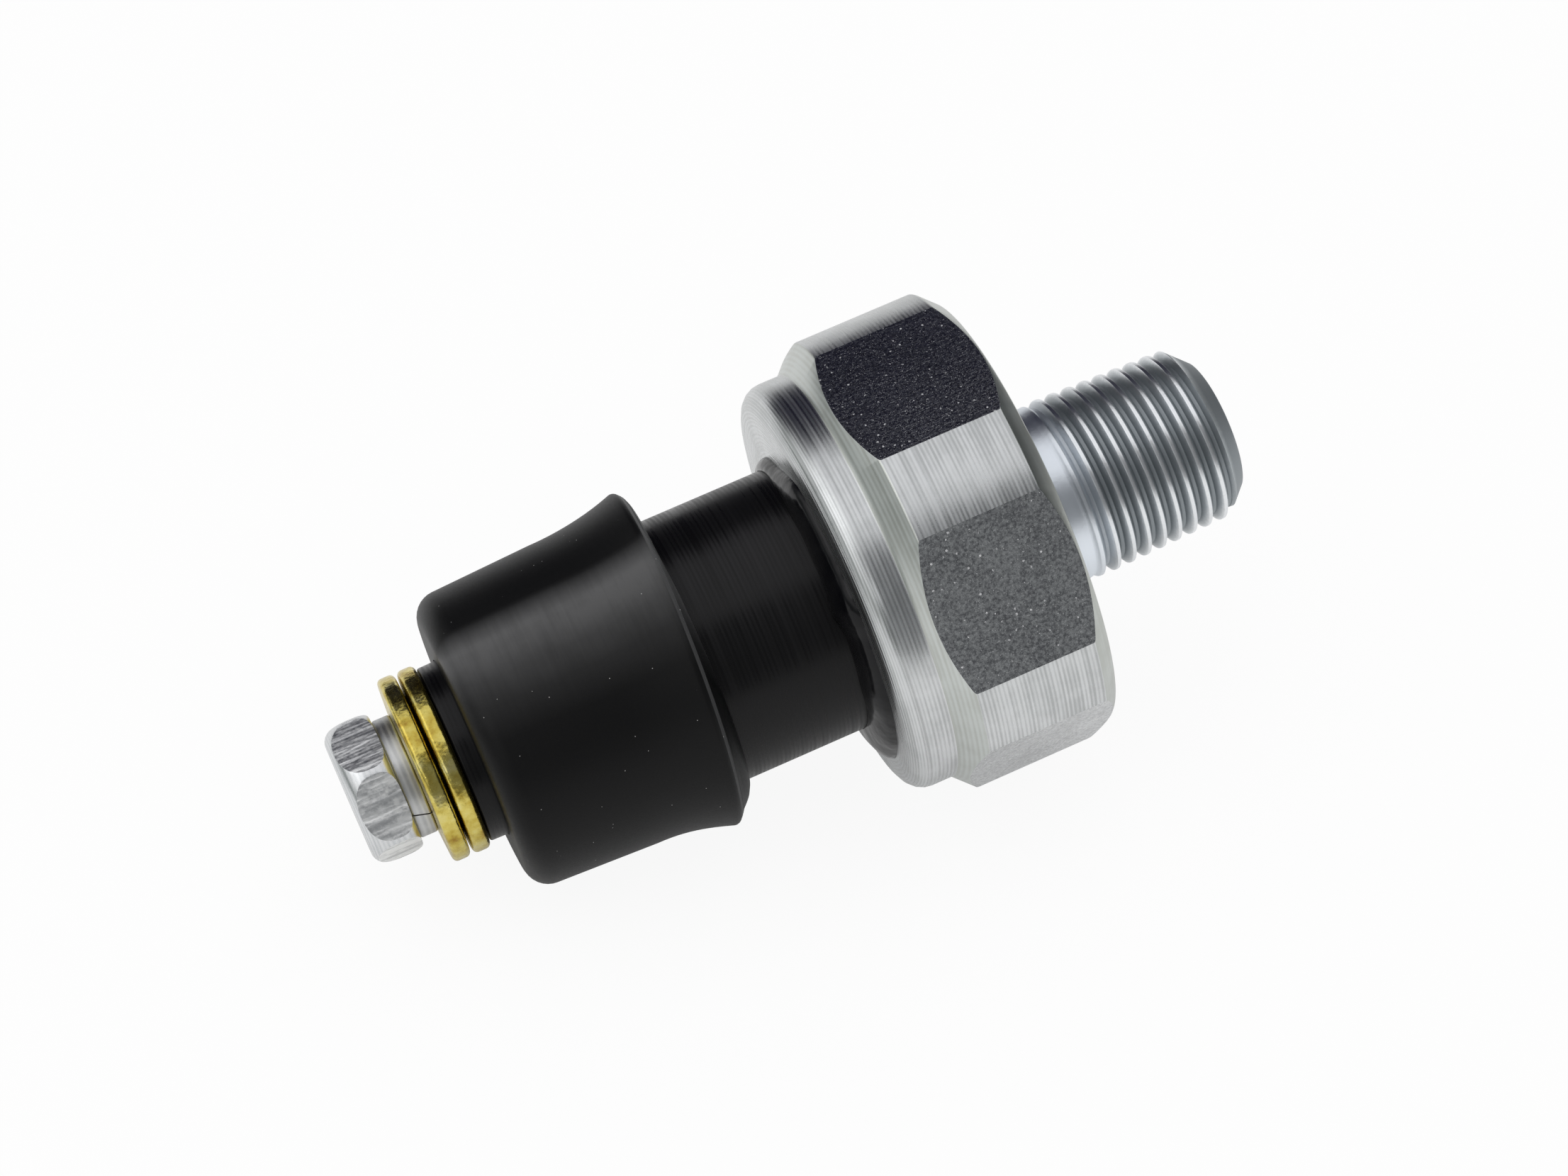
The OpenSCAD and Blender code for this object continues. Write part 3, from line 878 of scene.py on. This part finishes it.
def makeWashers():
    w = washers
    gold = goldMaterial("yellowPlate", goldLook)
    pair = [("outerTerminalWasher", "outer_washer"), ("innerTerminalWasher", "inner_washer")]
    for index, (name, node) in enumerate(pair):
        low = w["from"] + w["thick"] * index
        high = low + w["thick"]
        bm = bmesh.new()
        turn(bm, softened([
            (low, w["bore"] + 0.4),
            (low, w["flat"]),
            (low + w["dish"], w["radius"], w["round"]),
            (high - w["dish"], w["radius"], w["round"]),
            (high, w["flat"]),
            (high, w["bore"], 0.05),
            (low, w["bore"], 0.1),
        ]), 120)
        finishPiece(name, bm, [gold], node, edgeAngle=50)


lockWasher = {
    "bore": 2.2,
    "radius": 3.275,
    "from": -35.6,
    "to": -34.6,
    "split": 1.6,        # degrees left open
    "splitAt": 84,
    "slant": 20,
}
lockLook = {
    "colour": (0.66, 0.67, 0.68),
    "shade": (0.46, 0.47, 0.48),
    "rough": (0.34, 0.5),
    "lines": 4.0,
    "feed": 0.3,
    "lineDepth": 0.006,
    "stain": 0.9,
    "grain": 0.45,
}


def makeLockWasher():
    w = lockWasher
    bm = bmesh.new()
    outline = softened([
        (w["from"], w["bore"] + 0.3),
        (w["from"], w["radius"], 0.15),
        (w["to"], w["radius"], 0.15),
        (w["to"], w["bore"], 0.1),
        (w["from"], w["bore"], 0.1),
        (w["from"], w["bore"] + 0.3),
    ])[:-1]
    verts, edges = wireOf(bm, outline, closed=True)
    first = Matrix.Rotation(radians(w["splitAt"] + w["split"] / 2), 3, "X")
    bmesh.ops.rotate(bm, verts=verts, cent=(0, 0, 0), matrix=first)
    bmesh.ops.spin(
        bm, geom=verts + edges, cent=(0, 0, 0), axis=(1, 0, 0), dvec=(0, 0, 0),
        angle=radians(360 - w["split"]), steps=100, use_merge=False, use_duplicate=False,
    )
    bmesh.ops.holes_fill(bm, edges=[e for e in bm.edges if e.is_boundary], sides=0)
    middle = (w["from"] + w["to"]) / 2
    lean = tan(radians(w["slant"])) / w["radius"]
    for vert in bm.verts:
        radius, angle = aroundAxis(vert.co)
        setReach(vert, radius, angle + (vert.co.x - middle) * lean)
    finishPiece("springLockWasher", bm, [platedMaterial("lockSteel", lockLook)], "lock_washer")


screw = {
    "top": -38.25,
    "seat": -35.6,
    "acrossFlats": 7,
    "radius": 3.95,
    "topRadius": 3.0,
    "seatRadius": 3.5,
    "dome": 1.45,
    "base": 0.8,
    "shank": 1.95,
    "shankEnd": -26.6,
    "edge": 0.06,
}
screwLook = {
    "colour": (0.76, 0.77, 0.78),
    "shade": (0.6, 0.62, 0.63),
    "rough": (0.22, 0.36),
    "lines": 4.0,
    "feed": 0.3,
    "lineDepth": 0.003,
    "stain": 0.8,
    "grain": 0.25,
}


def quarterTurn(steps):
    for k in range(steps + 1):
        angle = pi / 2 * k / steps
        yield sin(angle), 1 - cos(angle)


def makeScrew():
    w = screw
    narrow, wide, under = w["topRadius"], w["radius"], w["seatRadius"]
    outline = [(w["top"] + 0.05, 0), (w["top"], narrow * 0.6)]
    outline += [(w["top"] + w["dome"] * fall, narrow + (wide - narrow) * rise) for rise, fall in quarterTurn(14)]
    outline += [(w["seat"] - w["base"] * (1 - rise), wide - (wide - under) * fall) for rise, fall in quarterTurn(8)]
    outline += softened([
        (w["seat"], under),
        (w["seat"], w["shank"] + 0.05, 0.05),
        (w["shankEnd"], w["shank"], 0.3),
        (w["shankEnd"], 0),
    ])[1:]
    bm = bmesh.new()
    turn(bm, outline, closed=False)
    cutFlats(bm, w["acrossFlats"], w["edge"])
    finishes = [platedMaterial("screwPlate", screwLook), facetMaterial("screwFacets", facetLook)]
    finishPiece("terminalScrew", bm, finishes, "terminal_screw", weighted=True)


# The inner pieces keep the CAD's solids. Each has a colour, a roughness, and metal and clearness where it needs them.
innerFinishes = {
    "terminal_insert": ((0.72, 0.55, 0.25), 0.3, 1.0),
    "spring_seat": ((0.62, 0.63, 0.65), 0.3, 1.0),
    "contact_spring": ((0.6, 0.61, 0.64), 0.25, 1.0),
    "contact_plate": ((0.75, 0.5, 0.3), 0.28, 1.0),
    "plunger": ((0.85, 0.82, 0.74), 0.45),
    "guide_plate": ((0.62, 0.63, 0.65), 0.35, 1.0),
    "diaphragm": ((0.7, 0.38, 0.08), 0.2, 0.0, 0.3),
    "seal_ring": ((0.03, 0.03, 0.03), 0.55),
    "flange_gasket": ((0.035, 0.035, 0.033), 0.6),
    "crimp_washer": ((0.6, 0.61, 0.62), 0.35, 1.0),
}


def finishInside():
    for node, finish in innerFinishes.items():
        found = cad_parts[node]
        found.data.materials.clear()
        found.data.materials.append(plainMaterial(node + "Finish", *finish))
    print("inner pieces", len(innerFinishes))


studio = {
    "worldLevel": 0.55,
    "floorSize": 3.0,
    "floorColour": (0.92, 0.92, 0.92, 1),
    "floorWhite": (0.92, 0.35),  # shown to the camera, and to what mirrors the floor
    "lamps": [           # name, place, length and width, watts
        ("overhead", (-0.05, 0.012, 0.48), (1.0, 0.55), 1.5),
        ("nearSide", (-0.3, -0.45, 0.3), (0.12, 0.12), 0.05),
    ],
    "lampAim": (0, 0, 0.012),
    "tentRadius": 0.8,   # grey tent over the table, which only shows in the metal
    "tentBack": (0.012, 0.012, 0.026),
    "tentFront": (0.21, 0.215, 0.22),
    "tentLeft": (0.24, 0.26, 0.25),
    "tentHigh": (1.0, 1.0, 1.0),
    "tentRight": (0.07, 0.075, 0.08),
}


def backgroundMix(tree, camera, mirror):
    # how much of the white background is shown to the camera, and to what mirrors it or is seen through
    path = addNode(tree, "ShaderNodeLightPath")
    seen = mathNode(tree, "MAXIMUM", path.outputs["Is Glossy Ray"], path.outputs["Is Transmission Ray"])
    direct = mathNode(tree, "MULTIPLY", path.outputs["Is Camera Ray"], camera)
    return mathNode(tree, "MAXIMUM", direct, mathNode(tree, "MULTIPLY", seen, mirror))


def stageObject(name, bm):
    # a piece of the studio, with an empty material
    made = addObject(name, bm)
    material = bpy.data.materials.new(name)
    material.use_nodes = True
    material.node_tree.nodes.clear()
    made.data.materials.append(material)
    return made, material.node_tree


def placeWorld():
    world = bpy.data.worlds.new("studioWorld")
    world.use_nodes = True
    tree = world.node_tree
    shown = next(n for n in tree.nodes if n.type == "BACKGROUND")
    strength = addNode(tree, "ShaderNodeMix")
    tree.links.new(backgroundMix(tree, 1.0, 1.0), strength.inputs["Factor"])
    strength.inputs["A"].default_value = studio["worldLevel"]
    strength.inputs["B"].default_value = 1.0
    tree.links.new(strength.outputs["Result"], shown.inputs["Strength"])
    shown.inputs["Color"].default_value = (1, 1, 1, 1)
    bpy.context.scene.world = world


def placeFloor():
    bm = bmesh.new()
    bmesh.ops.create_grid(bm, x_segments=1, y_segments=1, size=studio["floorSize"] / 2)
    floor, tree = stageObject("floor", bm)
    matt = addNode(tree, "ShaderNodeBsdfDiffuse", in_Color=studio["floorColour"])
    white = addNode(tree, "ShaderNodeEmission", in_Strength=1.0)
    mixed = addNode(tree, "ShaderNodeMixShader")
    tree.links.new(backgroundMix(tree, *studio["floorWhite"]), mixed.inputs[0])
    tree.links.new(matt.outputs[0], mixed.inputs[1])
    tree.links.new(white.outputs[0], mixed.inputs[2])
    tree.links.new(mixed.outputs[0], addNode(tree, "ShaderNodeOutputMaterial").inputs["Surface"])


def placeLamps():
    for name, place, (length, width), watts in studio["lamps"]:
        data = bpy.data.lights.new(name, "AREA")
        data.shape = "RECTANGLE"
        data.size = length
        data.size_y = width
        data.energy = watts
        lamp = bpy.data.objects.new(name, data)
        bpy.context.collection.objects.link(lamp)
        lamp.location = place
        ray = Vector(studio["lampAim"]) - Vector((0, *place[1:]))
        lamp.rotation_euler = ray.to_track_quat("-Z", "Y").to_euler()


def placeTent():
    radius = studio["tentRadius"]
    bm = bmesh.new()
    bmesh.ops.create_uvsphere(bm, u_segments=48, v_segments=24, radius=radius)
    cutAway(bm, (0, 0, 0), (0, 0, -1))
    tent, tree = stageObject("greyTent", bm)
    place = addNode(tree, "ShaderNodeTexCoord")
    x, y, z = splitOf(tree, place.outputs["Object"])
    depth = mathNode(tree, "MULTIPLY_ADD", y, 0.5 / radius, 0.5)
    endwise = mathNode(tree, "DIVIDE", x, radius)
    height = mathNode(tree, "DIVIDE", z, radius)
    across = rampOf(tree, depth, (0.12, studio["tentFront"]), (0.45, studio["tentBack"]))
    left = rampOf(tree, height, (0.2, studio["tentLeft"]), (0.42, studio["tentHigh"]))
    toLeft = rampOf(tree, mathNode(tree, "MULTIPLY", endwise, -1), (0.35, 0.0), (0.7, 1.0))
    toRight = rampOf(tree, endwise, (0.35, 0.0), (0.75, 1.0))
    colour = mixOf(tree, toRight, mixOf(tree, toLeft, across, left), studio["tentRight"])
    glow = addNode(tree, "ShaderNodeEmission", in_Strength=1.0)
    tree.links.new(colour, glow.inputs["Color"])
    tree.links.new(glow.outputs[0], addNode(tree, "ShaderNodeOutputMaterial").inputs["Surface"])
    tent.visible_camera = False
    tent.visible_diffuse = False
    tent.visible_shadow = False


placeCamera()
placeWorld()
placeFloor()
placeLamps()
placeTent()
bpy.context.scene.view_settings.view_transform = "Standard"
print("studio", len(studio["lamps"]), "lamps")

makeHousing()
makeInsulator()
makeBoot()
makeBead()
makeWashers()
makeLockWasher()
makeScrew()
finishInside()
